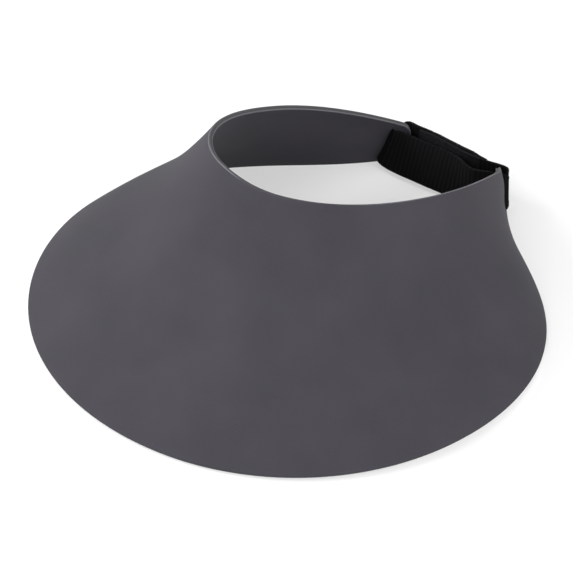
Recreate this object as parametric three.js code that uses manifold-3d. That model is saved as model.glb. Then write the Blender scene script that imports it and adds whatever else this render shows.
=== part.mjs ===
// Wide-brimmed sun visor moulded from one sheet of foam, resting on the lower edge of its brim.
// A webbing strap runs through a slot near each end of the foam and closes the back.
// Millimetres and degrees. +Z is up, and the brim points towards -Y.

import * as THREE from "three";
import { mergeVertices } from "three/addons/utils/BufferGeometryUtils.js";
import Module from "manifold-3d";

const wasm = await Module();
wasm.setup();

// Upper rim: an egg in plan, full at the forehead, and falling from the front to the ends.
// The wearer's left end droops a little below the other, and is pushed out a little by the strap.
const RIM = {
  halfWidth: 66.4,
  halfLength: 104.5,
  egg: 0.17,
  frontHeight: 104,
  backHeight: 14.5,
  sideLift: 12.4,
  leftDroop: 3,
  droopFromDeg: 100,
  leftFlare: 2.4,
  flareFromDeg: 112,
  // The rim stands a little higher at the wearer's right temple, between these angles round from the front.
  rightLift: 2.4,
  rightRise: [-12, 20],
  rightFall: [48, 90],
};

// Moulding of the foam, a row for each section from the front middle round to an end.
//   deg    angle round the rim, 0 at the front
//   reach  distance in plan from the rim out to the edge
//   lift   height of the edge off the surface, where the brim arches at the sides
//   lean   angle of the wall from upright at the rim
//   slope  angle of the brim below level at its edge
const SECTIONS = [
  { deg: 0, reach: 108, lift: 0, lean: 28, slope: 32 },
  { deg: 30, reach: 106.3, lift: 1.9, lean: 33, slope: 36 },
  { deg: 60, reach: 91.3, lift: 4.4, lean: 36, slope: 42 },
  { deg: 90, reach: 55.4, lift: 0.8, lean: 33, slope: 50 },
  { deg: 115, reach: 18.5, lift: 0, lean: 28, slope: 62 },
  { deg: 135, reach: 5.2, lift: 0, lean: 20, slope: 73 },
  { deg: 147, reach: 4, lift: 0, lean: 14, slope: 79 },
];

// Foam sheet: how full its curve is near the rim and near the edge, the share of its cut edge that is
// pressed flat on the surface, and the shape of its two ends.
const FOAM = {
  thickness: 3,
  rimPull: 0.5,
  edgePull: 0.5,
  pressedShare: 0.28,
  endDeg: 145.2,
  endTurnDeg: 8,
  cornerRadius: 7.5,
  cornerDeg: 5.4,
};

// Strap slots, square to the rim and a little way in from each end.
const SLOT = { deg: 136.3, leanDeg: 22, length: 25, width: 3, depth: 12, height: 13.8 };

// Strap: flat webbing, squeezed a little where it passes a slot.
// Its under end and its over end are given as shares of the run across the back.
const STRAP = { width: 25, thickness: 1.6, slotWidth: 22.9, squeezeLength: 7, underFrom: 0.05, overTo: 0.9 };

// Strap between the slots, inside the foam. It is not pulled tight, and waves near the wearer's left slot.
//   x     place across the back, towards the wearer's left
//   y     how far back its middle line lies
//   lean  angle by which the webbing leans back
const INNER_RUN = [
  { x: -28, y: 72.8, lean: 24, tuck: 0 },
  { x: -14, y: 72.6, lean: 24, tuck: 0 },
  { x: 0, y: 72.6, lean: 24, tuck: 0 },
  { x: 9, y: 72.4, lean: 21, tuck: 0 },
  { x: 16, y: 71.6, lean: 12, tuck: 0 },
  { x: 21, y: 70.6, lean: 5, tuck: 0 },
  { x: 26, y: 70.1, lean: 3, tuck: 0 },
  { x: 31, y: 70.9, lean: 7, tuck: 0 },
];

// Strap across the back outside the foam, where its two ends overlap. The rows are those of the under layer.
//   tuck  how far the webbing's upper edge is tucked down
const OUTER_RUN = [
  { x: -25, y: 84.5, lean: 8, tuck: 0.8 },
  { x: -12, y: 83.3, lean: 10, tuck: 0 },
  { x: 0, y: 83, lean: 7, tuck: 0.5 },
  { x: 12, y: 84, lean: -1, tuck: 2 },
  { x: 24, y: 88, lean: -5, tuck: 5.8 },
];

// Strap from a slot round the foam's end, a row for each place.
//   off    distance from the middle of the foam sheet
//   along  distance from the slot towards the foam's end
//   turn   share of the slot's slant that the webbing has lost there
//   tuckLeft, tuckRight   how far its upper edge is tucked down, on the wearer's left and right
//   lift   how far its lower edge is drawn up
const SLOT_RUN = [
  { off: -4.2, along: -0.2, turn: 0, tuckLeft: 0, tuckRight: 0, lift: 0 },
  { off: -2, along: 0, turn: 0, tuckLeft: 0, tuckRight: 0, lift: 0 },
  { off: 0, along: 0, turn: 0, tuckLeft: 0, tuckRight: 0, lift: 0 },
  { off: 2.1, along: 0, turn: 0, tuckLeft: 1, tuckRight: 0.3, lift: 0.8 },
  { off: 3.4, along: 0.9, turn: 0, tuckLeft: 2.6, tuckRight: 0.9, lift: 2.2 },
  { off: 3.7, along: 3.2, turn: 0, tuckLeft: 4.4, tuckRight: 1.6, lift: 3.6 },
  { off: 3.5, along: 6.4, turn: 0.1, tuckLeft: 6, tuckRight: 2.3, lift: 4 },
  { off: 3.4, along: 10, turn: 0.3, tuckLeft: 6.6, tuckRight: 2.8, lift: 3.6 },
  { off: 3.4, along: 14, turn: 0.6, tuckLeft: 6.6, tuckRight: 2.4, lift: 2.4 },
];

// Closure patch, pressed between the two overlapping ends of the strap and narrower than both.
const CLOSURE = { margin: 4, thickness: 1, from: 0.14, to: 0.84, gap: 0.35 };

const MESH = { evenStations: 34, cornerStations: 5, rows: 12, strapSteps: 3, runStations: 12 };

const rad = THREE.MathUtils.degToRad;
const UP = new THREE.Vector3(0, 0, 1);

// Natural cubic spline through one column of the table, mirrored so that both sides match.
function splineOf(column) {
  const side = SECTIONS.slice(1);
  const x = [...side.map((row) => -row.deg).reverse(), ...SECTIONS.map((row) => row.deg)];
  const y = [...side.map((row) => row[column]).reverse(), ...SECTIONS.map((row) => row[column])];
  const bend = new Array(x.length).fill(0);
  const carry = new Array(x.length).fill(0);
  for (let i = 1; i < x.length - 1; i++) {
    const before = x[i] - x[i - 1];
    const after = x[i + 1] - x[i];
    const jump = (y[i + 1] - y[i]) / after - (y[i] - y[i - 1]) / before;
    const pivot = 2 * (before + after) - before * carry[i - 1];
    carry[i] = after / pivot;
    bend[i] = (6 * jump - before * bend[i - 1]) / pivot;
  }
  for (let i = x.length - 2; i > 0; i--) bend[i] -= carry[i] * bend[i + 1];
  return (deg) => {
    let k = x.findIndex((knot) => knot > deg);
    if (k < 0) k = x.length - 1;
    k = Math.max(k, 1);
    const span = x[k] - x[k - 1];
    const a = (x[k] - deg) / span;
    const b = 1 - a;
    const curve = (a ** 3 - a) * bend[k - 1] + (b ** 3 - b) * bend[k];
    return a * y[k - 1] + b * y[k] + (curve * span * span) / 6;
  };
}

const reachAt = splineOf("reach");
const liftAt = splineOf("lift");
const leanAt = splineOf("lean");
const slopeAt = splineOf("slope");

// Point of the upper rim at an angle round it.
function rimPoint(deg) {
  const s = Math.sin(rad(deg));
  const c = Math.cos(rad(deg));
  const fall = ((RIM.backHeight - RIM.frontHeight) * (1 - c)) / 2;
  const droop = RIM.leftDroop * THREE.MathUtils.smoothstep(deg, RIM.droopFromDeg, FOAM.endDeg);
  const flare = RIM.leftFlare * THREE.MathUtils.smoothstep(deg, RIM.flareFromDeg, FOAM.endDeg);
  const risen = THREE.MathUtils.smoothstep(-deg, ...RIM.rightRise);
  const fallen = THREE.MathUtils.smoothstep(-deg, ...RIM.rightFall);
  const lift = RIM.sideLift * s * s + RIM.rightLift * risen * (1 - fallen);
  const x = RIM.halfWidth * s * (1 + RIM.egg * c) + flare;
  const z = RIM.frontHeight + fall + lift - droop;
  return new THREE.Vector3(x, -RIM.halfLength * c, z);
}

// Direction along the rim in plan, towards the wearer's left end.
function rimDirection(deg) {
  const step = 0.05;
  return rimPoint(deg + step).sub(rimPoint(deg - step)).setZ(0).normalize();
}

// Point of the outer skin: down counts from 0 at the rim to 1 at the lower edge.
// Each section is a Bezier curve that starts at the rim's lean and ends at the edge's slope.
function outerSkin(deg, down) {
  const rim = rimPoint(deg);
  const out = rimDirection(deg).cross(UP);
  const lean = rad(leanAt(deg));
  const slope = rad(slopeAt(deg));
  const reach = reachAt(deg);
  const edgeHeight = FOAM.thickness * Math.cos(slope) * (1 - FOAM.pressedShare) + liftAt(deg);
  const size = Math.hypot(reach, rim.z - edgeHeight);
  const atRim = size * FOAM.rimPull;
  const atEdge = size * FOAM.edgePull;
  const section = new THREE.CubicBezierCurve3(
    new THREE.Vector3(0, 0, rim.z),
    new THREE.Vector3(atRim * Math.sin(lean), 0, rim.z - atRim * Math.cos(lean)),
    new THREE.Vector3(reach - atEdge * Math.cos(slope), 0, edgeHeight + atEdge * Math.sin(slope)),
    new THREE.Vector3(reach, 0, edgeHeight),
  ).getPoint(down);
  return rim.addScaledVector(out, section.x).setZ(section.z);
}

// Outward normal of the outer skin.
function skinNormal(deg, down) {
  const step = 0.01;
  const along = outerSkin(deg + step, down).sub(outerSkin(deg - step, down));
  const across = outerSkin(deg, down + step).sub(outerSkin(deg, down - step));
  return across.cross(along).normalize();
}

function innerSkin(deg, down) {
  return outerSkin(deg, down).addScaledVector(skinNormal(deg, down), -FOAM.thickness);
}

// Angle at which a station crosses a height of the wall: near the ends the stations turn square to the rim.
function turned(stationDeg, down) {
  const nearEnd = (Math.abs(stationDeg) / FOAM.endDeg) ** 6;
  return stationDeg + Math.sign(stationDeg) * FOAM.endTurnDeg * (0.5 - down) * nearEnd;
}

// Angles of the stations: even round the wall, then closer together round the rounded corners.
function stationAngles() {
  const half = [];
  const start = FOAM.endDeg - FOAM.cornerDeg;
  for (let i = 0; i <= MESH.evenStations; i++) half.push((start * i) / MESH.evenStations);
  for (let i = 1; i <= MESH.cornerStations; i++) {
    half.push(start + FOAM.cornerDeg * Math.sin((Math.PI / 2) * (i / MESH.cornerStations)));
  }
  return [...half.slice(1).map((deg) => -deg).reverse(), ...half];
}

// Share of the wall's height that a rounded corner takes away at a station.
function cornerShare(stationDeg) {
  const into = (Math.abs(stationDeg) - (FOAM.endDeg - FOAM.cornerDeg)) / FOAM.cornerDeg;
  if (into <= 0) return 0;
  const height = outerSkin(stationDeg, 0).distanceTo(outerSkin(stationDeg, 1));
  return (FOAM.cornerRadius * (1 - Math.sqrt(1 - Math.min(into, 1) ** 2))) / height;
}

// Loop of points round the foam at one station: down the outer skin, across the cut edge, up the inner skin.
// Where the cut edge would pass below the floor, it is pressed flat on it.
function foamLoop(stationDeg) {
  const share = cornerShare(stationDeg);
  const outer = (down) => outerSkin(turned(stationDeg, down), down);
  const inner = (down) => innerSkin(turned(stationDeg, down), down);
  const low = 1 - share;
  const corner = outer(low);
  const square = inner(low);
  let innerLow = low;
  let onFloor = corner.clone().lerp(square, 0.5);
  if (square.z < 0) {
    onFloor = corner.clone().lerp(square, corner.z / (corner.z - square.z));
    let above = 0.5;
    for (let i = 0; i < 30; i++) {
      const middle = (above + innerLow) / 2;
      if (inner(middle).z > 0) above = middle;
      else innerLow = middle;
    }
  }
  const loop = [];
  for (let j = 0; j <= MESH.rows; j++) {
    loop.push(outer(THREE.MathUtils.lerp(share, low, j / MESH.rows)));
  }
  loop.push(onFloor);
  for (let j = MESH.rows; j >= 0; j--) {
    loop.push(inner(THREE.MathUtils.lerp(share, innerLow, j / MESH.rows)));
  }
  if (square.z < 0) {
    onFloor.z = 0;
    loop[MESH.rows + 2].z = 0;
  }
  return loop;
}

// Closed body through a row of equal loops, with a flat fan or strip over each end.
function loft(loops, capTriangles) {
  const count = loops[0].length;
  const index = [];
  for (let i = 0; i < loops.length - 1; i++) {
    for (let j = 0; j < count; j++) {
      const next = (j + 1) % count;
      const a = i * count + j;
      const b = i * count + next;
      index.push(a, b, b + count, a, b + count, a + count);
    }
  }
  const last = (loops.length - 1) * count;
  for (const [a, b, c] of capTriangles) {
    index.push(a, c, b);
    index.push(last + a, last + b, last + c);
  }
  const geometry = new THREE.BufferGeometry();
  const positions = loops.flat().flatMap((point) => point.toArray());
  geometry.setAttribute("position", new THREE.Float32BufferAttribute(positions, 3));
  geometry.setIndex(index);
  return geometry;
}

// Triangles that close a foam loop, between its outer and inner skins.
function foamCap() {
  const last = 2 * MESH.rows + 2;
  const triangles = [[MESH.rows, MESH.rows + 1, MESH.rows + 2]];
  for (let j = 0; j < MESH.rows; j++) {
    triangles.push([j, j + 1, last - j - 1], [j, last - j - 1, last - j]);
  }
  return triangles;
}

function solidOf(geometry) {
  const bare = geometry.clone();
  bare.deleteAttribute("normal");
  bare.deleteAttribute("uv");
  const merged = mergeVertices(bare, 1e-4);
  return new wasm.Manifold(
    new wasm.Mesh({
      numProp: 3,
      vertProperties: new Float32Array(merged.attributes.position.array),
      triVerts: new Uint32Array(merged.index.array),
    }),
  );
}

function geometryOf(solid) {
  const mesh = solid.getMesh();
  const geometry = new THREE.BufferGeometry();
  geometry.setAttribute("position", new THREE.BufferAttribute(mesh.vertProperties, 3));
  geometry.setIndex(new THREE.BufferAttribute(mesh.triVerts, 1));
  const flat = geometry.toNonIndexed();
  flat.computeVertexNormals();
  return flat;
}

// How far down the wall, as a share, the outer skin comes to a height.
function shareAtHeight(deg, height) {
  let above = 0;
  let below = 1;
  for (let i = 0; i < 30; i++) {
    const middle = (above + below) / 2;
    if (outerSkin(deg, middle).z > height) above = middle;
    else below = middle;
  }
  return above;
}

// Frame of the slot on one side: its middle in the wall, the way out and the way up along the slot.
// Steep is the way up the wall without the slot's slant, and level the way along it to the foam's end.
function slotFrame(side) {
  const deg = side * SLOT.deg;
  const share = shareAtHeight(deg, SLOT.height);
  const out = skinNormal(deg, share);
  const middle = outerSkin(deg, share).addScaledVector(out, -FOAM.thickness / 2);
  const level = UP.clone().cross(out).multiplyScalar(side).normalize();
  const steep = out.clone().cross(level).multiplyScalar(side).normalize();
  const up = steep.clone().multiplyScalar(Math.cos(rad(SLOT.leanDeg)));
  up.addScaledVector(level, Math.sin(rad(SLOT.leanDeg)));
  return { middle, out, up, steep, level };
}

// Round-ended bar that cuts one slot through the wall.
function slotCutter(side) {
  const { middle, out, up } = slotFrame(side);
  const half = SLOT.length / 2;
  const r = SLOT.width / 2;
  const outline = new THREE.Shape();
  outline.moveTo(-half + r, -r);
  outline.lineTo(half - r, -r);
  outline.absarc(half - r, 0, r, -Math.PI / 2, Math.PI / 2);
  outline.lineTo(-half + r, r);
  outline.absarc(-half + r, 0, r, Math.PI / 2, (3 * Math.PI) / 2);
  const pull = { depth: SLOT.depth, bevelEnabled: false, curveSegments: 5 };
  const bar = new THREE.ExtrudeGeometry(outline, pull);
  bar.translate(0, 0, -SLOT.depth / 2);
  bar.applyMatrix4(new THREE.Matrix4().makeBasis(up, out.clone().cross(up), out).setPosition(middle));
  return bar;
}

function foamShell() {
  const blank = solidOf(loft(stationAngles().map(foamLoop), foamCap()));
  return geometryOf(blank.subtract(solidOf(slotCutter(1))).subtract(solidOf(slotCutter(-1))));
}

// A station of webbing: a point of its middle line, the way up across it, and its width.
// Tucking the upper edge down and drawing the lower edge up both narrow the webbing.
function station(point, up, tuck, lift) {
  return { point: point.addScaledVector(up, (lift - tuck) / 2), up, width: STRAP.width - tuck - lift };
}

function runStation(row) {
  const lean = rad(row.lean);
  const up = new THREE.Vector3(0, Math.sin(lean), Math.cos(lean));
  return station(new THREE.Vector3(row.x, row.y, SLOT.height), up, row.tuck, 0);
}

function curvesThrough(stations) {
  return {
    line: new THREE.CatmullRomCurve3(stations.map((place) => place.point), false, "centripetal"),
    ups: new THREE.CatmullRomCurve3(stations.map((place) => place.up), false, "centripetal"),
    widthAt: (t) => {
      const place = t * (stations.length - 1);
      const before = Math.min(Math.floor(place), stations.length - 2);
      return THREE.MathUtils.lerp(stations[before].width, stations[before + 1].width, place - before);
    },
  };
}

// Stations across the back outside the foam, risen off the under layer.
function outerStations(rise, from, to) {
  const { line, ups, widthAt } = curvesThrough(OUTER_RUN.map(runStation));
  const stations = [];
  for (let i = 0; i <= MESH.runStations; i++) {
    const t = THREE.MathUtils.lerp(from, to, i / MESH.runStations);
    const up = ups.getPoint(t).normalize();
    const outwards = up.clone().cross(line.getTangent(t)).normalize();
    stations.push({ point: line.getPoint(t).addScaledVector(outwards, rise), up, width: widthAt(t) });
  }
  return stations;
}

// Stations through one slot, from inside the foam round its end.
function slotStations(side) {
  const { middle, out, up, steep, level } = slotFrame(side);
  return SLOT_RUN.map((row) => {
    const point = middle.clone().addScaledVector(out, row.off).addScaledVector(level, row.along);
    const upThere = up.clone().lerp(steep, row.turn).normalize();
    return station(point, upThere, side > 0 ? row.tuckLeft : row.tuckRight, row.lift);
  });
}

// Height of the over layer and of the closure patch above the under layer.
const overRise = STRAP.thickness + CLOSURE.thickness + 2 * CLOSURE.gap;
const patchRise = overRise / 2;

// Whole strap: its under end, the wearer's left slot, the inner run, the wearer's right slot, its over end.
function strapStations() {
  return [
    ...outerStations(0, STRAP.underFrom, 1),
    ...slotStations(1).reverse(),
    ...INNER_RUN.map(runStation).reverse(),
    ...slotStations(-1),
    ...outerStations(overRise, 0, STRAP.overTo),
  ];
}

// Loop of four corners of a flat band across its line.
function bandLoop(point, up, along, width, thickness) {
  const through = along.clone().cross(up).normalize();
  const corner = (u, t) =>
    point.clone().addScaledVector(up, (u * width) / 2).addScaledVector(through, (t * thickness) / 2);
  return [corner(-1, -1), corner(1, -1), corner(1, 1), corner(-1, 1)];
}

// Flat band through stations, narrower than they are by an amount given at each point.
function band(stations, steps, narrowAt, thickness) {
  const { line, ups, widthAt } = curvesThrough(stations);
  const loops = [];
  for (let i = 0; i <= steps; i++) {
    const t = i / steps;
    const point = line.getPoint(t);
    const width = widthAt(t) - narrowAt(point);
    loops.push(bandLoop(point, ups.getPoint(t).normalize(), line.getTangent(t), width, thickness));
  }
  const cap = [
    [0, 1, 2],
    [0, 2, 3],
  ];
  return loft(loops, cap).toNonIndexed();
}

function elasticStrap() {
  const stations = strapStations();
  const slots = [slotFrame(1).middle, slotFrame(-1).middle];
  const squeezeAt = (point) => {
    const near = Math.min(...slots.map((slot) => slot.distanceTo(point)));
    return (STRAP.width - STRAP.slotWidth) * Math.exp(-((near / STRAP.squeezeLength) ** 2));
  };
  return band(stations, (stations.length - 1) * MESH.strapSteps, squeezeAt, STRAP.thickness);
}

function closureTab() {
  const stations = outerStations(patchRise, CLOSURE.from, CLOSURE.to);
  return band(stations, stations.length - 1, () => CLOSURE.margin, CLOSURE.thickness);
}

function piece(name, geometry, color, roughness) {
  geometry.computeVertexNormals();
  const material = new THREE.MeshStandardMaterial({ color, roughness, metalness: 0 });
  const mesh = new THREE.Mesh(geometry, material);
  mesh.name = name;
  return mesh;
}

const visor = new THREE.Group();
visor.add(
  piece("foam_shell", foamShell(), 0x55555a, 0.85),
  piece("elastic_strap", elasticStrap(), 0x121214, 0.9),
  piece("closure_tab", closureTab(), 0x161618, 0.95),
);

// The origin is the middle of the footprint, on the surface that the brim rests on.
const box = new THREE.Box3().setFromObject(visor);
visor.position.y = -(box.min.y + box.max.y) / 2;
visor.position.x = -(box.min.x + box.max.x) / 2;

export default visor;
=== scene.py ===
"""Foam sun visor on a pale table: one moulded sheet of foam, closed at the back by an elastic strap."""
import bisect
import math

import bmesh
import bpy
import numpy as np
from mathutils import Matrix, Vector, noise
from mathutils.geometry import delaunay_2d_cdt
from mathutils.kdtree import KDTree


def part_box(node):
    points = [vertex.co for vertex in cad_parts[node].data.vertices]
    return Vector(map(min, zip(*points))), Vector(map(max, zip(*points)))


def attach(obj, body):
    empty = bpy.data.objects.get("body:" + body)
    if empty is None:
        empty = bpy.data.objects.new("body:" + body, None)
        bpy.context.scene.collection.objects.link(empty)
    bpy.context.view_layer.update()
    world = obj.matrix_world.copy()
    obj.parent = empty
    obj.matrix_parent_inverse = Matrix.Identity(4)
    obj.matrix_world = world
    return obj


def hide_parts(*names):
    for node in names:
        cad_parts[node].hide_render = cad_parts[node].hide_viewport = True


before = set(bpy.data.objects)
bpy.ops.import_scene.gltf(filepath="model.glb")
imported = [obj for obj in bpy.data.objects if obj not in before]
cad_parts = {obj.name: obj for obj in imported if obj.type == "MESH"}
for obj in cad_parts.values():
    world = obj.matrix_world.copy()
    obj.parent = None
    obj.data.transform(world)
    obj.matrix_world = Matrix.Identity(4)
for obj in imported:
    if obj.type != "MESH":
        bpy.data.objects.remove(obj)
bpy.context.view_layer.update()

# Foam shell.
# The band and the wide brim are one sheet of closed-cell EVA foam, about 3 mm thick. It is heated,
# pressed over a form and cut out, so it has smooth skins, a plain cut edge, and a slot near each end.
# In this mesh the slots are not cut through, and the strap passes through the foam there.
FOAM_THICKNESS = 0.003
RIM_HALF_WIDTH = 0.0664
RIM_HALF_LENGTH = 0.1045
RIM_EGG = 0.17
RIM_FRONT_HEIGHT = 0.104
RIM_BACK_HEIGHT = 0.0145
RIM_SIDE_LIFT = 0.0124

# The wearer's left end droops and is pushed out, each from an angle on. The rim stands a little higher at
# the right temple, where it rises and falls again between these angles round from the front.
LEFT_DROOP = 0.003
DROOP_FROM_DEG = 100
LEFT_FLARE = 0.0024
FLARE_FROM_DEG = 112
RIGHT_LIFT = 0.0024
RIGHT_RISE_DEG = (-12, 20)
RIGHT_FALL_DEG = (48, 90)

# The foam's ends: how far round they lie, how far they lean in towards the rim and how suddenly, and the
# radius and the width of their round corners.
END_DEG = 145.2
END_TURN_DEG = 8
END_TURN_POWER = 6
CORNER_RADIUS = 0.0075
CORNER_DEG = 5.4

# Share of the lower edge's thickness that is pressed flat where it rests on the table.
PRESSED_SHARE = 0.28

# Sections of the moulding from the front middle round to an end, in degrees and metres: angle round the
# rim, reach of the brim in plan, lift of its edge, lean of the wall at the rim, slope of the brim's edge.
SECTIONS = [
    (0, 0.1080, 0.0000, 28, 32),
    (30, 0.1063, 0.0019, 33, 36),
    (60, 0.0913, 0.0044, 36, 42),
    (90, 0.0554, 0.0008, 33, 50),
    (115, 0.0185, 0.0000, 28, 62),
    (135, 0.0052, 0.0000, 20, 73),
    (147, 0.0040, 0.0000, 14, 79),
]

# The angle round the rim is counted from the front, which faces -Y.
foam_low, foam_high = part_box("foam_shell")
ring_middle = Vector(((foam_low.x + foam_high.x) / 2, foam_low.y + RIM_HALF_LENGTH + SECTIONS[0][1], 0))


def spline_through(column):
    """Natural cubic spline through one column of SECTIONS, the same on both sides of the front."""
    knots = [-row[0] for row in SECTIONS[:0:-1]] + [row[0] for row in SECTIONS]
    values = [row[column] for row in SECTIONS[:0:-1]] + [row[column] for row in SECTIONS]
    gaps = np.diff(knots)
    rises = np.diff(values) / gaps
    system = np.eye(len(knots))
    jumps = np.zeros(len(knots))
    for i in range(1, len(knots) - 1):
        system[i, i - 1:i + 2] = gaps[i - 1], 2 * (gaps[i - 1] + gaps[i]), gaps[i]
        jumps[i] = 6 * (rises[i] - rises[i - 1])
    bends = np.linalg.solve(system, jumps)

    def at(deg):
        k = min(max(bisect.bisect(knots, deg), 1), len(knots) - 1)
        a = (knots[k] - deg) / gaps[k - 1]
        b = 1 - a
        curve = (a ** 3 - a) * bends[k - 1] + (b ** 3 - b) * bends[k]
        return a * values[k - 1] + b * values[k] + curve * gaps[k - 1] ** 2 / 6

    return at


reach_at, lift_at, lean_at, slope_at = (spline_through(column) for column in (1, 2, 3, 4))


def smoothstep(low, high, value):
    share = min(max((value - low) / (high - low), 0), 1)
    return share * share * (3 - 2 * share)


# Steps to each side over which a direction is measured, in degrees along the rim, and in degrees and
# shares of the depth on the skin.
RIM_STEP_DEG = 0.05
SKIN_STEP = 0.01


def rim_point(deg):
    """Point of the upper rim: an egg in plan, high at the front and low at the two ends. The wearer's left
    end droops a little more, and is pushed out by the strap. The right temple stands a little higher."""
    s, c = math.sin(math.radians(deg)), math.cos(math.radians(deg))
    fall = (RIM_BACK_HEIGHT - RIM_FRONT_HEIGHT) * (1 - c) / 2
    droop = LEFT_DROOP * smoothstep(DROOP_FROM_DEG, END_DEG, deg)
    flare = LEFT_FLARE * smoothstep(FLARE_FROM_DEG, END_DEG, deg)
    lift = RIGHT_LIFT * smoothstep(*RIGHT_RISE_DEG, -deg) * (1 - smoothstep(*RIGHT_FALL_DEG, -deg))
    width = RIM_HALF_WIDTH * s * (1 + RIM_EGG * c) + flare
    height = RIM_FRONT_HEIGHT + fall + RIM_SIDE_LIFT * s * s + lift - droop
    return ring_middle + Vector((width, -RIM_HALF_LENGTH * c, height))


def outer_skin(deg, down):
    """Point of the foam's outer skin, with down from 0 at the rim to 1 at the lower edge."""
    rim = rim_point(deg)
    way = rim_point(deg + RIM_STEP_DEG) - rim_point(deg - RIM_STEP_DEG)
    out = Vector((way.y, -way.x, 0)).normalized()
    lean, slope = math.radians(lean_at(deg)), math.radians(slope_at(deg))
    reach = reach_at(deg)
    edge = FOAM_THICKNESS * math.cos(slope) * (1 - PRESSED_SHARE) + lift_at(deg)
    pull = math.hypot(reach, rim.z - edge) / 2
    corners = [
        (0, rim.z),
        (pull * math.sin(lean), rim.z - pull * math.cos(lean)),
        (reach - pull * math.cos(slope), edge + pull * math.sin(slope)),
        (reach, edge),
    ]
    shares = [(1 - down) ** 3, 3 * (1 - down) ** 2 * down, 3 * (1 - down) * down ** 2, down ** 3]
    outwards = sum(share * corner[0] for share, corner in zip(shares, corners))
    height = sum(share * corner[1] for share, corner in zip(shares, corners))
    place = rim + out * outwards
    return Vector((place.x, place.y, height))


def skin_normal(deg, down):
    along = outer_skin(deg + SKIN_STEP, down) - outer_skin(deg - SKIN_STEP, down)
    across = outer_skin(deg, down + SKIN_STEP) - outer_skin(deg, down - SKIN_STEP)
    return across.cross(along).normalized()


def wall_height(station_deg):
    return (outer_skin(station_deg, 0) - outer_skin(station_deg, 1)).length


# The flat blank, before it is moulded: its x runs along the band, a fixed length for each degree round the
# rim, and its y runs up from the lower edge at the bottom to the rim at 0.
DEG_LENGTH = 0.0015


def moulded(flat):
    """Point of the outer skin for a point of the flat blank. Near the ends it leans in towards the rim."""
    station_deg = flat.x / DEG_LENGTH
    down = -flat.y / wall_height(station_deg)
    near_end = (abs(station_deg) / END_DEG) ** END_TURN_POWER
    turn = math.copysign(END_TURN_DEG, station_deg) * (0.5 - down) * near_end
    return outer_skin(station_deg + turn, down)


# Slots for the strap, one in each end of the foam, leaning back with the foam's end. Their outlines guide
# the strap and the foam's triangles.
SLOT_DEG = 136.3
SLOT_LEAN_DEG = 22
SLOT_LENGTH = 0.025
SLOT_WIDTH = 0.003
SLOT_HEIGHT = 0.0138

# Halvings that find how far down the wall a slot lies, and steps that find its outline on the blank.
HALVINGS = 30
SEARCH_STEPS = 6


def slot_frame(side):
    """Middle of a slot in the sheet, the way out of the wall, the way up along the slot, the way up the
    wall without the slot's lean, and the way along the wall to the foam's end."""
    deg = side * SLOT_DEG
    above, below = 0.0, 1.0
    for _ in range(HALVINGS):
        middle = (above + below) / 2
        if outer_skin(deg, middle).z > SLOT_HEIGHT:
            above = middle
        else:
            below = middle
    out = skin_normal(deg, above)
    level = side * Vector((0, 0, 1)).cross(out).normalized()
    steep = side * out.cross(level).normalized()
    lean = math.radians(SLOT_LEAN_DEG)
    up = steep * math.cos(lean) + level * math.sin(lean)
    return outer_skin(deg, above) - out * FOAM_THICKNESS / 2, out, up, steep, level


# The cut edge is rounded at both skins, and its soft core sinks a little between them, at these shares of
# the way from one rounding to the other.
EDGE_ROUNDING = 0.0006
ROUNDING_STEPS = 3
EDGE_SINK = 0.0003
SUNK_SHARES = (0.2, 0.5, 0.8)

# Above this height the corners of the edge are painted lighter, a painted highlight where they catch the
# light.
HIGHLIGHT_FROM = 0.009

# The skin runs one and a half times as fast as the flat blank at its rim and edge.
BLANK_INSET = EDGE_ROUNDING / 1.5


# Steps of a slot's outline round each end and along each side.
SLOT_ROUND_STEPS = 8
SLOT_STRAIGHT_STEPS = 16


def slot_outline(side):
    """Outline of a slot on the flat blank, grown by the rounding of its edge."""
    middle, out, up, _, _ = slot_frame(side)
    across = out.cross(up)
    radius = SLOT_WIDTH / 2 + EDGE_ROUNDING
    straight = (SLOT_LENGTH - SLOT_WIDTH) / 2
    points = []
    for end in (1, -1):
        for step in range(SLOT_ROUND_STEPS + 1):
            angle = math.pi * step / SLOT_ROUND_STEPS
            along = straight + radius * math.sin(angle)
            points.append(up * end * along + across * end * radius * math.cos(angle))
        for step in range(1, SLOT_STRAIGHT_STEPS):
            share = 1 - 2 * step / SLOT_STRAIGHT_STEPS
            points.append(up * end * straight * share - across * end * radius)
    return [flat_over(middle + point, across, up) for point in points]


def flat_over(point, across, up):
    """Place on the flat blank of the skin over a point in a slot."""
    station_deg = math.copysign(SLOT_DEG, point.x)
    flat = Vector((station_deg * DEG_LENGTH, -wall_height(station_deg) / 2))
    nudge = 1e-5
    for _ in range(SEARCH_STEPS):
        here = moulded(flat)
        by_x = (moulded(flat + Vector((nudge, 0))) - here) / nudge
        by_y = (moulded(flat + Vector((0, nudge))) - here) / nudge
        turn = Matrix(((by_x.dot(across), by_y.dot(across)), (by_x.dot(up), by_y.dot(up))))
        flat += turn.inverted() @ Vector(((point - here).dot(across), (point - here).dot(up)))
    return flat


# Points of the blank's outline: along the rim and the lower edge, round each corner, and down each end.
RIM_POINTS = 373
CORNER_STEPS = 11
END_POINTS = 13


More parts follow.
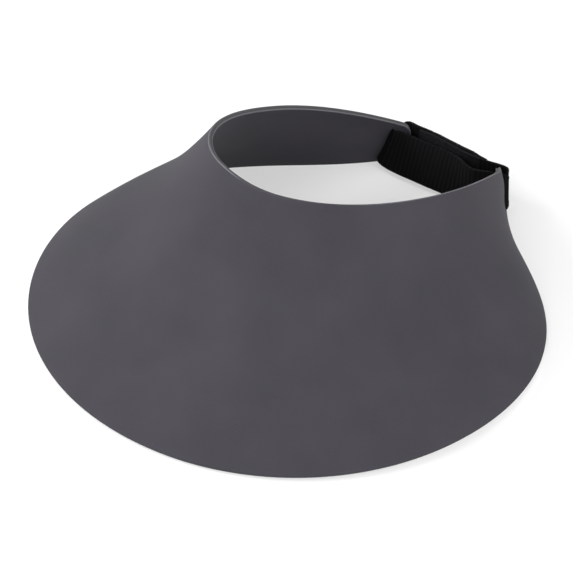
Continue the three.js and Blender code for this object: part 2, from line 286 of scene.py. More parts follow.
def blank_outline():
    """Outline of the flat blank, inset by the rounding of its edge, with its four round corners."""
    corner = END_DEG - CORNER_DEG
    across = CORNER_DEG * DEG_LENGTH - EDGE_ROUNDING
    radius = CORNER_RADIUS - BLANK_INSET
    rim, edge = [], []
    for deg in np.linspace(-corner, corner, RIM_POINTS):
        rim.append(Vector((deg * DEG_LENGTH, -BLANK_INSET)))
        edge.append(Vector((deg * DEG_LENGTH, BLANK_INSET - wall_height(deg))))
    left, right = [], []
    for step in range(1, CORNER_STEPS):
        angle = math.pi / 2 * step / CORNER_STEPS
        x = corner * DEG_LENGTH + across * math.sin(angle)
        height = wall_height(x / DEG_LENGTH)
        cut = CORNER_RADIUS - radius * math.cos(angle)
        right.append((Vector((x, -cut)), Vector((x, cut - height))))
        left.append((Vector((-x, -cut)), Vector((-x, cut - height))))
    end = corner * DEG_LENGTH + across
    depth = wall_height(end / DEG_LENGTH)
    drops = np.linspace(CORNER_RADIUS, depth - CORNER_RADIUS, END_POINTS)
    outline = rim + [top for top, _ in right] + [Vector((end, -drop)) for drop in drops]
    outline += [low for _, low in right[::-1]] + edge[::-1] + [low for _, low in left]
    outline += [Vector((-end, -drop)) for drop in drops[::-1]] + [top for top, _ in left[::-1]]
    return outline


BLANK_SPACING = 0.0022

# The triangles fill the outline. This kind was chosen to leave the slots open, but it fills them too.
# Points nearer than this become one.
INSIDE_WITH_HOLES = 2
MERGE_WITHIN = 1e-7


def inner_points(outlines):
    """Even grid of points on the blank, clear of its outlines and of its slots."""
    borders = [point for outline in outlines for point in outline]

    # Points halfway across each slot keep the grid out of it.
    borders += [(outline[i] + outline[-i]) / 2 for outline in outlines[1:] for i in range(len(outline))]
    tree = KDTree(len(borders))
    for i, point in enumerate(borders):
        tree.insert(point.to_3d(), i)
    tree.balance()
    found = []
    across = round(2 * END_DEG * DEG_LENGTH / BLANK_SPACING)
    for x in np.linspace(-END_DEG, END_DEG, across + 1)[1:-1] * DEG_LENGTH:
        depth = wall_height(x / DEG_LENGTH)
        for y in np.arange(2 * EDGE_ROUNDING + BLANK_SPACING / 2, depth, BLANK_SPACING):
            point = Vector((x, -y))
            if tree.find(point.to_3d())[2] > BLANK_SPACING / 2 and y < depth - BLANK_SPACING / 2:
                found.append(point)
    return found


def deselect_all():
    for thing in bpy.context.selected_objects:
        thing.select_set(False)


def select_only(piece):
    deselect_all()
    piece.select_set(True)
    bpy.context.view_layer.objects.active = piece


def apply_modifiers(piece):
    select_only(piece)
    for modifier in list(piece.modifiers):
        bpy.ops.object.modifier_apply(modifier=modifier.name)


# Places of the foam's materials.
SKIN, CUT_EDGE, HIGHLIGHT_CORNER = range(3)

outlines = [blank_outline(), slot_outline(1), slot_outline(-1)]
flats = [point for outline in outlines for point in outline]
borders = []
for outline in outlines:
    first = len(borders)
    borders += [(first + i, first + (i + 1) % len(outline)) for i in range(len(outline))]
flats += inner_points(outlines)
flats, _, triangles, _, _, _ = delaunay_2d_cdt(flats, borders, [], INSIDE_WITH_HOLES, MERGE_WITHIN)
foam_mesh = bpy.data.meshes.new("moulded_foam")
foam_mesh.from_pydata([moulded(flat) for flat in flats], [], triangles)
foam = bpy.data.objects.new("moulded_foam", foam_mesh)
bpy.context.collection.objects.link(foam)
for _ in (SKIN, CUT_EDGE, HIGHLIGHT_CORNER):
    foam.data.materials.append(None)
wall = foam.modifiers.new("wall", "SOLIDIFY")
wall.thickness = FOAM_THICKNESS
wall.offset = -1
wall.use_even_offset = True
wall.use_rim = False
skin_points = len(foam.data.vertices)
apply_modifiers(foam)


def edge_profile():
    """Section of the cut edge from the outer skin to the inner: depth below the outer skin, and how far
    it stands out from where the rounding starts."""
    rounding = []
    for step in range(1, ROUNDING_STEPS + 1):
        angle = math.pi / 2 * step / ROUNDING_STEPS
        rounding.append((EDGE_ROUNDING * (1 - math.cos(angle)), EDGE_ROUNDING * math.sin(angle)))
    core = FOAM_THICKNESS - 2 * EDGE_ROUNDING
    sunk = []
    for share in SUNK_SHARES:
        stand = EDGE_ROUNDING - EDGE_SINK * math.sin(math.pi * share)
        sunk.append((EDGE_ROUNDING + core * share, stand))
    return rounding + sunk + [(FOAM_THICKNESS - depth, out) for depth, out in rounding[::-1]]


# The cut edge joins the two skins all round the foam. The filled slots have none.
shell = bmesh.new()
shell.from_mesh(foam.data)
skin = list(shell.verts)
skin_edges = [edge for edge in shell.edges if edge.is_boundary and edge.verts[0].index < skin_points]
following = {edge.link_loops[0].vert: edge.link_loops[0].link_loop_next.vert for edge in skin_edges}
preceding = {after: vertex for vertex, after in following.items()}
profile = edge_profile()
rings = {}
for vertex, after in following.items():
    inner = skin[vertex.index + skin_points]
    depth = (inner.co - vertex.co).normalized()
    out = depth.cross(after.co - preceding[vertex].co).normalized()
    ring = [shell.verts.new(vertex.co + depth * down + out * stand) for down, stand in profile]
    rings[vertex] = [vertex] + ring + [inner]
for vertex, after in following.items():
    for k in range(len(profile) + 1):
        corners = (rings[after][k], rings[vertex][k], rings[vertex][k + 1], rings[after][k + 1])
        face = shell.faces.new(corners)
        if ROUNDING_STEPS <= k <= len(profile) - ROUNDING_STEPS:
            face.material_index = CUT_EDGE
        # Corners of the edge above this height are painted lighter, a painted highlight.
        elif vertex.co.z > HIGHLIGHT_FROM:
            face.material_index = HIGHLIGHT_CORNER
loose = [vertex for vertex in shell.verts if not vertex.link_faces]
bmesh.ops.delete(shell, geom=loose, context="VERTS")

# The lower edge rests flat on the table.
for vertex in shell.verts:
    vertex.co.z = max(vertex.co.z, 0)
shell.to_mesh(foam.data)
shell.free()
select_only(foam)
bpy.ops.object.mode_set(mode="EDIT")
bpy.ops.mesh.select_all(action="SELECT")
bpy.ops.mesh.tris_convert_to_quads()
bpy.ops.object.mode_set(mode="OBJECT")
bpy.ops.object.shade_smooth()


def linear(hex_colour):
    """Linear colour of an sRGB hex value such as "808080"."""
    channels = [int(hex_colour[i:i + 2], 16) / 255 for i in (0, 2, 4)]
    bright = [c / 12.92 if c <= 0.04045 else ((c + 0.055) / 1.055) ** 2.4 for c in channels]
    return (*bright, 1)


def add_node(material, kind, settings, links):
    """Adds a node with its settings, and links it: links gives the socket that feeds each input."""
    node = material.node_tree.nodes.new(kind)
    for name, value in settings.items():
        if isinstance(name, int) or name in node.inputs:
            node.inputs[name].default_value = value
        elif name == "stops":
            for stop, (position, colour) in zip(node.color_ramp.elements, value):
                stop.position = position
                stop.color = colour
        else:
            setattr(node, name, value)
    for name, socket in links.items():
        material.node_tree.links.new(socket, node.inputs[name])
    return node


def new_material(name):
    material = bpy.data.materials.new(name)
    material.use_nodes = True
    material.node_tree.nodes.clear()
    return material


# Moulded EVA foam: its closed skin is matte with a soft, broad shine, and fine grained from the press.
# The grain is really about 0.2 mm, and it is drawn at 0.7 mm so that it shows. The pigment is a little
# uneven. The mix node takes its two colours at inputs 6 and 7, and gives the mixed one at output 2.
FOAM_GRAIN = 0.0007
FOAM_CLOUDS = 0.035


def moulded_eva_skin():
    material = new_material("moulded_eva_skin")
    place = add_node(material, "ShaderNodeTexCoord", {}, {}).outputs["Object"]
    grain = add_node(material, "ShaderNodeTexNoise", {"Scale": 1 / FOAM_GRAIN, "Detail": 3},
                     {"Vector": place})
    clouds = add_node(material, "ShaderNodeTexNoise", {"Scale": 1 / FOAM_CLOUDS, "Detail": 2},
                      {"Vector": place})
    pigment = add_node(material, "ShaderNodeValToRGB",
                       {"stops": [(0.3, linear("29282D")), (0.7, linear("2E2C32"))]},
                       {"Fac": clouds.outputs[0]})
    speck = add_node(material, "ShaderNodeMix",
                     {"data_type": "RGBA", "blend_type": "SOFT_LIGHT", 0: 0.25},
                     {6: pigment.outputs[0], 7: grain.outputs["Color"]})
    dull = add_node(material, "ShaderNodeMapRange", {"To Min": 0.7, "To Max": 0.85},
                    {"Value": grain.outputs[0]})
    bump = add_node(material, "ShaderNodeBump", {"Strength": 0.35, "Distance": 0.00012},
                    {"Height": grain.outputs[0]})
    shader = add_node(material, "ShaderNodeBsdfPrincipled", {"IOR": 1.48, "Specular IOR Level": 0.2},
                      {"Base Color": speck.outputs[2], "Roughness": dull.outputs[0],
                       "Normal": bump.outputs[0]})
    add_node(material, "ShaderNodeOutputMaterial", {}, {"Surface": shader.outputs[0]})
    return material


# Cut EVA foam: the knife opens the cells, so the edge is duller and coarser than the skin. The cells are
# really about 0.2 mm, and they are drawn at 0.6 mm so that they show.
FOAM_CELL = 0.0006


def cut_eva_edge():
    material = new_material("cut_eva_edge")
    place = add_node(material, "ShaderNodeTexCoord", {}, {}).outputs["Object"]
    cells = add_node(material, "ShaderNodeTexVoronoi", {"Scale": 1 / FOAM_CELL}, {"Vector": place})
    pigment = add_node(material, "ShaderNodeValToRGB",
                       {"stops": [(0.0, linear("252427")), (0.8, linear("343336"))]},
                       {"Fac": cells.outputs["Distance"]})
    bump = add_node(material, "ShaderNodeBump", {"Strength": 0.5, "Distance": 0.0002},
                    {"Height": cells.outputs["Distance"]})
    shader = add_node(material, "ShaderNodeBsdfPrincipled", {"IOR": 1.48, "Roughness": 0.8},
                      {"Base Color": pigment.outputs[0], "Normal": bump.outputs[0]})
    add_node(material, "ShaderNodeOutputMaterial", {}, {"Surface": shader.outputs[0]})
    return material


# EVA foam at the corners of the cut: along the rim the skin wraps over the corners of the cut, which are
# painted lighter, a painted highlight where the rounded corners catch the light. The stretch round this
# place across the front gets no painted highlight and keeps the skin's own tone.
UNHIGHLIGHTED_MIDDLE = 0.022
UNHIGHLIGHTED_REACH = (0.027, 0.037)


def eva_corner_painted_highlight():
    material = new_material("eva_corner_painted_highlight")
    place = add_node(material, "ShaderNodeTexCoord", {}, {}).outputs["Object"]
    across = add_node(material, "ShaderNodeSeparateXYZ", {}, {0: place}).outputs[0]
    aside = add_node(material, "ShaderNodeMath", {"operation": "SUBTRACT", 1: UNHIGHLIGHTED_MIDDLE},
                     {0: across})
    side = add_node(material, "ShaderNodeMath", {"operation": "ABSOLUTE"}, {0: aside.outputs[0]})
    highlight_share = add_node(material, "ShaderNodeMapRange",
                    {"From Min": UNHIGHLIGHTED_REACH[0], "From Max": UNHIGHLIGHTED_REACH[1]},
                    {"Value": side.outputs[0]})
    # Painted highlight: the corners are lighter away from the stretch across the front.
    tint = add_node(material, "ShaderNodeValToRGB",
                    {"stops": [(0, linear("2A292D")), (1, linear("4A494E"))]},
                    {"Fac": highlight_share.outputs[0]})
    shader = add_node(material, "ShaderNodeBsdfPrincipled",
                      {"IOR": 1.48, "Specular IOR Level": 0.35, "Roughness": 0.6},
                      {"Base Color": tint.outputs[0]})
    add_node(material, "ShaderNodeOutputMaterial", {}, {"Surface": shader.outputs[0]})
    return material


foam.data.materials[SKIN] = moulded_eva_skin()
foam.data.materials[CUT_EDGE] = cut_eva_edge()
foam.data.materials[HIGHLIGHT_CORNER] = eva_corner_painted_highlight()
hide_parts("foam_shell")
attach(foam, "root")

# Elastic strap.
# Black webbing 25 mm wide, knitted round rubber threads that draw it into ribs, with a flat selvedge along
# each edge. Loop tape is sewn on both of its ends, which overlap outside the foam and hold each other.
STRAP_WIDTH = 0.025
STRAP_THICKNESS = 0.0016

# Each slot squeezes the strap narrower, over this length to each side.
STRAP_SQUEEZE = 0.0021
STRAP_SQUEEZE_LENGTH = 0.007

# Shares of the way across the back, from the wearer's right to the left: the under layer's free end, the
# over layer's free end, and where the over layer starts to come down on the under layer.
STRAP_UNDER_FROM = 0.05
STRAP_OVER_TO = 1.0
STRAP_END_FROM = 0.8

# At its free end the over layer's upper edge is tucked down, and the whole layer sinks inwards.
STRAP_END_TUCK = 0.0012
STRAP_END_SINK = 0.0012

# The closure patch between the layers, with a gap on each side.
CLOSURE_THICKNESS = 0.001
CLOSURE_GAP = 0.00035

# Strap between the slots, inside the foam: place across the back and how far back it lies in metres, the
# angle by which it leans back, and how far its upper edge is tucked down.
INNER_RUN = [
    (-0.028, 0.0728, 24, 0),
    (-0.014, 0.0726, 24, 0),
    (0.000, 0.0726, 24, 0),
    (0.009, 0.0724, 21, 0),
    (0.016, 0.0716, 12, 0),
    (0.021, 0.0706, 5, 0),
    (0.026, 0.0701, 3, 0),
    (0.031, 0.0709, 7, 0),
]

# Under layer of the strap outside the foam, in the same columns.
OUTER_RUN = [
    (-0.025, 0.0845, 8, 0.0008),
    (-0.012, 0.0833, 10, 0),
    (0.000, 0.0830, 7, 0.0005),
    (0.012, 0.0840, -1, 0.0013),
    (0.024, 0.0880, -5, 0.0040),
]

# Strap from a slot round the foam's end: distance out from the middle of the sheet, distance along to the
# foam's end, share of the slot's lean that it has lost, how far its upper edge is tucked down on the
# wearer's left and right, and how far its lower edge is drawn up.
SLOT_RUN = [
    (-0.0042, -0.0002, 0.0, 0, 0, 0),
    (-0.0020, 0.0000, 0.0, 0, 0, 0),
    (0.0000, 0.0000, 0.0, 0, 0, 0),
    (0.0021, 0.0000, 0.0, 0.0010, 0.0003, 0.0008),
    (0.0034, 0.0009, 0.0, 0.0026, 0.0009, 0.0022),
    (0.0037, 0.0032, 0.0, 0.0044, 0.0016, 0.0036),
    (0.0035, 0.0064, 0.1, 0.0060, 0.0023, 0.0040),
    (0.0034, 0.0100, 0.3, 0.0066, 0.0028, 0.0036),
    (0.0034, 0.0140, 0.6, 0.0056, 0.0024, 0.0024),
]


def strap_station(point, up, tuck, lift=0):
    """A place of the strap: a point of its middle line, the way up across it, and its width."""
    return point + up * (lift - tuck) / 2, up, STRAP_WIDTH - tuck - lift


def run_station(row):
    x, y, lean_deg, tuck = row
    lean = math.radians(lean_deg)
    up = Vector((0, math.sin(lean), math.cos(lean)))
    return strap_station(ring_middle + Vector((x, y, SLOT_HEIGHT)), up, tuck)


# Points whose distance has a smaller square root than this count as one.
SAME_POINT = 1e-4


def curve_at(points, place):
    """Point of the centripetal curve through points, at a place counted in points from the first."""
    k = min(int(place), len(points) - 2)
    w = place - k
    before = points[k - 1] if k else 2 * points[0] - points[1]
    after = points[k + 2] if k + 2 < len(points) else 2 * points[-1] - points[-2]
    p = [before, points[k], points[k + 1], after]
    gaps = [math.sqrt((p[i + 1] - p[i]).length) for i in range(3)]
    if gaps[1] < SAME_POINT:
        gaps[1] = 1
    gaps = [gap if gap > SAME_POINT else gaps[1] for gap in gaps]
    ahead = (p[1] - p[0]) / gaps[0] - (p[2] - p[0]) / (gaps[0] + gaps[1]) + (p[2] - p[1]) / gaps[1]
    beyond = (p[2] - p[1]) / gaps[1] - (p[3] - p[1]) / (gaps[1] + gaps[2]) + (p[3] - p[2]) / gaps[2]
    ahead *= gaps[1]
    beyond *= gaps[1]
    return (p[1] + ahead * w + (3 * (p[2] - p[1]) - 2 * ahead - beyond) * w ** 2
            + (2 * (p[1] - p[2]) + ahead + beyond) * w ** 3)


def band_at(stations, place):
    """Point, way up, width and way along at a place of a band, counted in stations."""
    points = [station[0] for station in stations]
    k = min(int(place), len(stations) - 2)
    width = stations[k][2] + (stations[k + 1][2] - stations[k][2]) * (place - k)
    up = curve_at([station[1] for station in stations], place).normalized()
    step = 0.002
    low, high = max(place - step, 0), min(place + step, len(stations) - 1)
    along = (curve_at(points, high) - curve_at(points, low)).normalized()
    return curve_at(points, place), up, width, along


# Stations of a layer across the back.
BACK_STATIONS = 13


def outer_stations(rise, start, end):
    """Stations across the back outside the foam, risen off the under layer."""
    rows = [run_station(row) for row in OUTER_RUN]
    found = []
    for share in np.linspace(start, end, BACK_STATIONS):
        point, up, width, along = band_at(rows, share * (len(rows) - 1))
        found.append((point + up.cross(along).normalized() * rise, up, width))
    return found


def slot_stations(side):
    """Stations from inside the foam through one slot and round the foam's end."""
    middle, out, up, steep, level = slot_frame(side)
    found = []
    for off, along, turn, tuck_left, tuck_right, lift in SLOT_RUN:
        point = middle + out * off + level * along
        tuck = tuck_left if side > 0 else tuck_right
        found.append(strap_station(point, up.lerp(steep, turn).normalized(), tuck, lift))
    return found


def lay_end_down(stations):
    """Lets the free end of the over layer down on the under layer, past the closure patch."""
    found = []
    for i, (point, up, width) in enumerate(stations):
        share = smoothstep(STRAP_END_FROM, STRAP_OVER_TO, STRAP_OVER_TO * i / (len(stations) - 1))
        along = stations[min(i + 1, len(stations) - 1)][0] - stations[max(i - 1, 0)][0]
        outwards = up.cross(along).normalized()
        tuck = STRAP_END_TUCK * share
        found.append((point - outwards * STRAP_END_SINK * share - up * tuck / 2, up, width - tuck))
    return found


# The over layer stands off the under layer by a layer, the closure patch and the patch's two gaps.
OVER_RISE = STRAP_THICKNESS + CLOSURE_THICKNESS + 2 * CLOSURE_GAP
inner_stations = [run_station(row) for row in INNER_RUN]
under_layer = outer_stations(0, STRAP_UNDER_FROM, 1)
over_layer = lay_end_down(outer_stations(OVER_RISE, 0, STRAP_OVER_TO))
strap_stations = under_layer + slot_stations(1)[::-1] + inner_stations[::-1] + slot_stations(-1)
strap_stations += over_layer
slot_middles = [slot_frame(side)[0] for side in (1, -1)]


def squeeze_at(point):
    near = min((middle - point).length for middle in slot_middles)
    return STRAP_SQUEEZE * math.exp(-(near / STRAP_SQUEEZE_LENGTH) ** 2)


# Steps from one station to the next, over which a band's length is measured.
STEPS_A_STATION = 20


def add_band(name, stations, narrow_at, thickness, spacing, across):
    """A flat band through stations, with its length and width in metres as its UV map. Its points lie this
    spacing apart along it, and there are so many across it."""
    places = np.linspace(0, len(stations) - 1, STEPS_A_STATION * len(stations))
    line = [band_at(stations, place)[0] for place in places]
    lengths = np.concatenate([[0], np.cumsum([(b - a).length for a, b in zip(line, line[1:])])])
    along = round(lengths[-1] / spacing) + 1
    deselect_all()
    bpy.ops.mesh.primitive_grid_add(x_subdivisions=along - 1, y_subdivisions=across - 1, size=1)
    band = bpy.context.object
    band.name = name
    band.data.name = name
    frames = []
    for length in np.linspace(0, lengths[-1], along):
        point, up, width, _ = band_at(stations, float(np.interp(length, lengths, places)))
        frames.append((point, up, width - narrow_at(point)))
    for vertex in band.data.vertices:
        point, up, width = frames[round((vertex.co.x + 0.5) * (along - 1))]
        vertex.co = point + up * width * vertex.co.y
    for corner in band.data.uv_layers[0].data:
        corner.uv = (corner.uv.x * lengths[-1], corner.uv.y * STRAP_WIDTH)
    wall = band.modifiers.new("wall", "SOLIDIFY")
    wall.thickness = thickness
    wall.offset = 0
    wall.use_even_offset = False
    apply_modifiers(band)
    return band, lengths, places


# The surface stands a little proud of the flat band: ribs on the elastic, soft pile on the loop tape.
# The ribs are bolder in some patches than in others, and lower towards the wearer's left.
RIB_PITCH = 0.00285
RIB_HEIGHT = 0.0003
RIB_FULLNESS = 0.8
RIB_PATCH = 0.005
RIB_MEAN = 0.75
RIB_SPREAD = 0.5
RIB_FADE = (0.020, 0.031)
RIB_FADED_BY = 0.7

# The stitches of the knit show on the ribs as a fine brick pattern. A flat selvedge with a slight wave
# closes each side.
STITCH_PITCH = 0.00125
STITCH_SHARE = 0.25
SELVEDGE = 0.0015
SELVEDGE_BLEND = 0.0003
SELVEDGE_WAVE = 0.25

PILE_FLOOR = 0.00004
PILE_HEIGHT = 0.00016
PILE_GRAIN = 0.0009

# Stations that the loop tape stops short of the slots, on the under and on the over layer.
UNDER_TAPE_SHORT = 1
OVER_TAPE_SHORT = 2

STRAP_SPACING = 0.00036
STRAP_ACROSS = 37
strap_core = STRAP_THICKNESS - 2 * RIB_HEIGHT
strap, strap_lengths, strap_places = add_band(
    "elastic_webbing", strap_stations, squeeze_at, strap_core, STRAP_SPACING, STRAP_ACROSS)


def length_at(place):
    return float(np.interp(place, strap_places, strap_lengths))


under_tape_end = length_at(len(under_layer) - 1 - UNDER_TAPE_SHORT)
over_tape_start = length_at(len(strap_stations) - len(over_layer) + OVER_TAPE_SHORT)


def on_tape(length):
    return length < under_tape_end or length > over_tape_start


def relief_at(length, across, point):
    """How far the surface stands off the band's core at a place along and across it."""
    if on_tape(length):
        return PILE_HEIGHT * (1 + noise.noise(point / PILE_GRAIN)) / 2 + PILE_FLOOR
    patchy = RIB_MEAN + RIB_SPREAD * noise.noise(point / RIB_PATCH)
    fade = 1 - RIB_FADED_BY * smoothstep(*RIB_FADE, point.x)
    rib = (0.5 + 0.5 * math.cos(2 * math.pi * length / RIB_PITCH)) * patchy * fade
    brick = math.pi * round(length / RIB_PITCH)
    stitch = 0.5 + 0.5 * math.cos(2 * math.pi * across / STITCH_PITCH + brick)
    ribbed = RIB_HEIGHT * rib ** RIB_FULLNESS * (1 - STITCH_SHARE + STITCH_SHARE * stitch)
    seam = STRAP_WIDTH / 2 - SELVEDGE
    hem = smoothstep(seam - SELVEDGE_BLEND, seam + SELVEDGE_BLEND, abs(across - STRAP_WIDTH / 2))
    wave = math.cos(4 * math.pi * length / RIB_PITCH)
    plain = RIB_HEIGHT * (1 - SELVEDGE_WAVE + SELVEDGE_WAVE * wave)
    return ribbed * (1 - hem) + plain * hem


# Places of the strap's materials.
KNIT, PILE = range(2)

uv_of = {}
for corner, uv in zip(strap.data.loops, strap.data.uv_layers[0].data):
    uv_of[corner.vertex_index] = tuple(uv.uv)
normals = [vertex.normal.copy() for vertex in strap.data.vertices]
for vertex, normal in zip(strap.data.vertices, normals):
    length, across = uv_of[vertex.index]
    vertex.co += normal * relief_at(length, across, vertex.co)
bpy.ops.object.shade_smooth()
for _ in (KNIT, PILE):
    strap.data.materials.append(None)
for face in strap.data.polygons:
    face.material_index = PILE if on_tape(uv_of[face.vertices[0]][0]) else KNIT

# Knitted elastic: matt black polyester yarn that traps the light. The grooves between the ribs are painted
# darker and their crests lighter, painted shade and painted highlight of the ribs.
# The yarn is really about 0.3 mm, and it is drawn at 0.6 mm so that it shows. It varies more than the ribs
# do, and tones beyond the reach are the darkest or the lightest.
YARN = 0.0006
YARN_CONTRAST = 5.0
TONE_REACH = 1.9


def black_elastic_knit():
    material = new_material("black_elastic_knit")
    place = add_node(material, "ShaderNodeTexCoord", {}, {}).outputs["UV"]
    along = add_node(material, "ShaderNodeSeparateXYZ", {}, {0: place}).outputs[0]
    angle = add_node(material, "ShaderNodeMath", {"operation": "MULTIPLY", 1: 2 * math.pi / RIB_PITCH},
                     {0: along})
    # Painted shade in the grooves and painted highlight on the crests of the ribs, along the strap.
    rib_shading = add_node(material, "ShaderNodeMath", {"operation": "COSINE"}, {0: angle.outputs[0]})
    yarn = add_node(material, "ShaderNodeTexNoise", {"Scale": 1 / YARN, "Detail": 3}, {"Vector": place})
    uneven = add_node(material, "ShaderNodeMath",
                      {"operation": "MULTIPLY_ADD", 1: YARN_CONTRAST, 2: -YARN_CONTRAST / 2},
                      {0: yarn.outputs[0]})
    mixed = add_node(material, "ShaderNodeMath", {"operation": "ADD"},
                     {0: rib_shading.outputs[0], 1: uneven.outputs[0]})
    share = add_node(material, "ShaderNodeMapRange", {"From Min": -TONE_REACH, "From Max": TONE_REACH},
                     {"Value": mixed.outputs[0]})
    tint = add_node(material, "ShaderNodeValToRGB",
                    {"stops": [(0.0, linear("010101")), (1.0, linear("0F0F11"))]},
                    {"Fac": share.outputs[0]})
    bump = add_node(material, "ShaderNodeBump", {"Strength": 0.6, "Distance": 0.00015},
                    {"Height": yarn.outputs[0]})
    shader = add_node(material, "ShaderNodeBsdfPrincipled",
                      {"IOR": 1.5, "Specular IOR Level": 0.06, "Roughness": 0.8},
                      {"Base Color": tint.outputs[0], "Normal": bump.outputs[0]})
    add_node(material, "ShaderNodeOutputMaterial", {}, {"Surface": shader.outputs[0]})
    return material


# Loop tape: a felt of fine nylon loops, with no shine at all. The loops are really about 0.4 mm, and they
# are drawn at the pile's grain so that they show.
def black_loop_pile():
    material = new_material("black_loop_pile")
    place = add_node(material, "ShaderNodeTexCoord", {}, {}).outputs["Object"]
    loops = add_node(material, "ShaderNodeTexNoise", {"Scale": 1 / PILE_GRAIN, "Detail": 4},
                     {"Vector": place})
    tint = add_node(material, "ShaderNodeValToRGB",
                    {"stops": [(0.35, linear("0D0D0E")), (0.7, linear("1C1C1F"))]},
                    {"Fac": loops.outputs[0]})
    bump = add_node(material, "ShaderNodeBump", {"Strength": 0.8, "Distance": 0.0003},
                    {"Height": loops.outputs[0]})
    shader = add_node(material, "ShaderNodeBsdfPrincipled",
                      {"IOR": 1.5, "Specular IOR Level": 0.06, "Roughness": 0.9},
                      {"Base Color": tint.outputs[0], "Normal": bump.outputs[0]})
    add_node(material, "ShaderNodeOutputMaterial", {}, {"Surface": shader.outputs[0]})
    return material


strap.data.materials[KNIT] = black_elastic_knit()
strap.data.materials[PILE] = black_loop_pile()
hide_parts("elastic_strap")
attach(strap, "root")

# Closure patch.
# Hook tape between the strap's two overlapping ends. It is narrower than both, so only its edge shows.
CLOSURE_MARGIN = 0.004
CLOSURE_FROM = 0.14
CLOSURE_TO = 0.84
CLOSURE_SPACING = 0.0006
CLOSURE_ACROSS = 30

patch_stations = outer_stations(OVER_RISE / 2, CLOSURE_FROM, CLOSURE_TO)
patch, _, _ = add_band("hook_tape", patch_stations, lambda point: CLOSURE_MARGIN, CLOSURE_THICKNESS,
                       CLOSURE_SPACING, CLOSURE_ACROSS)
bpy.ops.object.shade_smooth()

# Hook tape: moulded nylon hooks in rows, dark and slightly glossy. Their tips are painted lighter and the
# gaps between them darker, a painted highlight on the tips and painted shade between them.
HOOK_PITCH = 0.0014


def black_nylon_hooks():
    material = new_material("black_nylon_hooks")
    place = add_node(material, "ShaderNodeTexCoord", {}, {}).outputs["Object"]
    hooks = add_node(material, "ShaderNodeTexVoronoi", {"Scale": 1 / HOOK_PITCH}, {"Vector": place})
    # Painted highlight on the tips and painted shade between the hooks.
    tint = add_node(material, "ShaderNodeValToRGB",
                    {"stops": [(0.1, linear("2A2A2D")), (0.6, linear("0E0E10"))]},
                    {"Fac": hooks.outputs["Distance"]})
    bump = add_node(material, "ShaderNodeBump", {"Strength": 0.7, "Distance": 0.0004, "invert": True},
                    {"Height": hooks.outputs["Distance"]})
    shader = add_node(material, "ShaderNodeBsdfPrincipled", {"IOR": 1.53, "Roughness": 0.5},
                      {"Base Color": tint.outputs[0], "Normal": bump.outputs[0]})
    add_node(material, "ShaderNodeOutputMaterial", {}, {"Surface": shader.outputs[0]})
    return material


patch.data.materials.append(black_nylon_hooks())
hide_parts("closure_tab")
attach(patch, "root")

# Table and light.
# A pale, matt light table that runs out of sight, lit softly from below so that shadows on it stay faint.
# White screens stand low all round it, and large soft lamps hang over the middle, in front, and to the
# left and right, with one low behind on the right.
TABLE_SIZE = 8.0
TABLE_GAP = 0.0001

deselect_all()
bpy.ops.mesh.primitive_plane_add(size=TABLE_SIZE, location=(0, 0, -TABLE_GAP))
table = bpy.context.object
table.name = "table"

# Backlit acrylic: a matt, milky sheet with an even glow of its own.
TABLE_GLOW = 0.45
acrylic = new_material("backlit_white_acrylic")
acrylic_shader = add_node(acrylic, "ShaderNodeBsdfPrincipled",
                          {"Base Color": linear("A2A2A2"), "Roughness": 0.9,
                           "Emission Color": linear("FFFFFF"), "Emission Strength": TABLE_GLOW}, {})
add_node(acrylic, "ShaderNodeOutputMaterial", {}, {"Surface": acrylic_shader.outputs[0]})
table.data.materials.append(acrylic)

# The screens shine evenly up to their top edge, which fades out between these heights. A height is the
# sine of the angle above the table.
SCREEN_TOP = (0.30, 0.42)
SCREEN_STRENGTH = 1.575
sky = bpy.data.worlds.new("white_screens")
sky.use_nodes = True
sky.node_tree.nodes.clear()
direction = add_node(sky, "ShaderNodeTexCoord", {}, {}).outputs["Generated"]
height = add_node(sky, "ShaderNodeSeparateXYZ", {}, {0: direction}).outputs[2]
screens = add_node(sky, "ShaderNodeValToRGB",
                   {"stops": [(SCREEN_TOP[0], linear("FFFFFF")), (SCREEN_TOP[1], linear("000000"))]},
                   {"Fac": height})
glow = add_node(sky, "ShaderNodeBackground", {"Strength": SCREEN_STRENGTH}, {"Color": screens.outputs[0]})
add_node(sky, "ShaderNodeOutputWorld", {}, {"Surface": glow.outputs[0]})
bpy.context.scene.world = sky

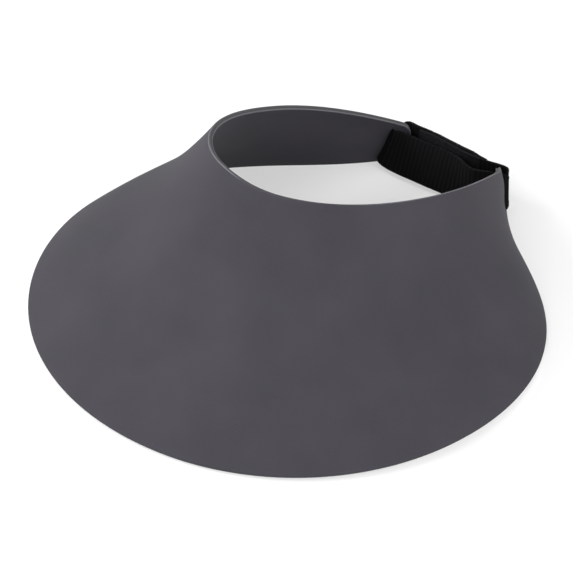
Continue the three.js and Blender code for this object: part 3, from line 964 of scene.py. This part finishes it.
# Square soft lamps, all aimed at the object: name, place, width and power in watts.
LAMPS = [
    ("top_lamp", (0, 0, 1.6), 1.0, 10),
    ("left_lamp", (-1.4, -0.3, 0.9), 0.8, 30),
    ("right_lamp", (1.4, 0.3, 0.9), 0.8, 21),
    ("front_lamp", (0.5, -1.4, 0.8), 0.8, 23.8),
    ("left_front_lamp", (-0.9, -1.2, 0.9), 0.8, 11.2),
    ("low_right_lamp", (1.25, 0.95, 0.4), 0.8, 7),
]
for name, place, width, power in LAMPS:
    deselect_all()
    bpy.ops.object.light_add(type="AREA", location=place)
    lamp = bpy.context.object
    lamp.name = name
    lamp.data.shape = "SQUARE"
    lamp.data.size = width
    lamp.data.energy = power
    lamp.rotation_euler = (-Vector(place)).to_track_quat("-Z", "Y").to_euler()

# Camera.
# The photograph's long lens, from above and from the front left of the wearer. It turns round a place
# inside the head ring, counted from the ring's middle, and aims a little to the left of it and below it.
CAMERA_AZIMUTH_DEG = 37.12
CAMERA_ELEVATION_DEG = 36.54
CAMERA_DISTANCE = 1.5
CAMERA_LENS = 168.2
SENSOR_WIDTH = 36
SEEN_PLACE = (0, -0.04, 0.045)
AIM_SHIFT_RIGHT = -0.0205
AIM_SHIFT_UP = -0.0388

turn, rise = math.radians(CAMERA_AZIMUTH_DEG), math.radians(CAMERA_ELEVATION_DEG)
back = Vector((math.sin(turn) * math.cos(rise), -math.cos(turn) * math.cos(rise), math.sin(rise)))
right = Vector((math.cos(turn), math.sin(turn), 0))
upwards = back.cross(right)
seen = ring_middle + Vector(SEEN_PLACE)
stand = seen + back * CAMERA_DISTANCE
ahead = (seen + right * AIM_SHIFT_RIGHT + upwards * AIM_SHIFT_UP - stand).normalized()
level = ahead.cross(upwards).normalized()
deselect_all()
bpy.ops.object.camera_add(location=stand)
camera = bpy.context.object
camera.name = "camera"
camera.data.lens = CAMERA_LENS
camera.data.sensor_width = SENSOR_WIDTH
axes = Matrix((level, level.cross(ahead), -ahead)).transposed()
camera.matrix_world = Matrix.Translation(stand) @ axes.to_4x4()
bpy.context.scene.camera = camera
bpy.context.scene.view_settings.view_transform = "Standard"
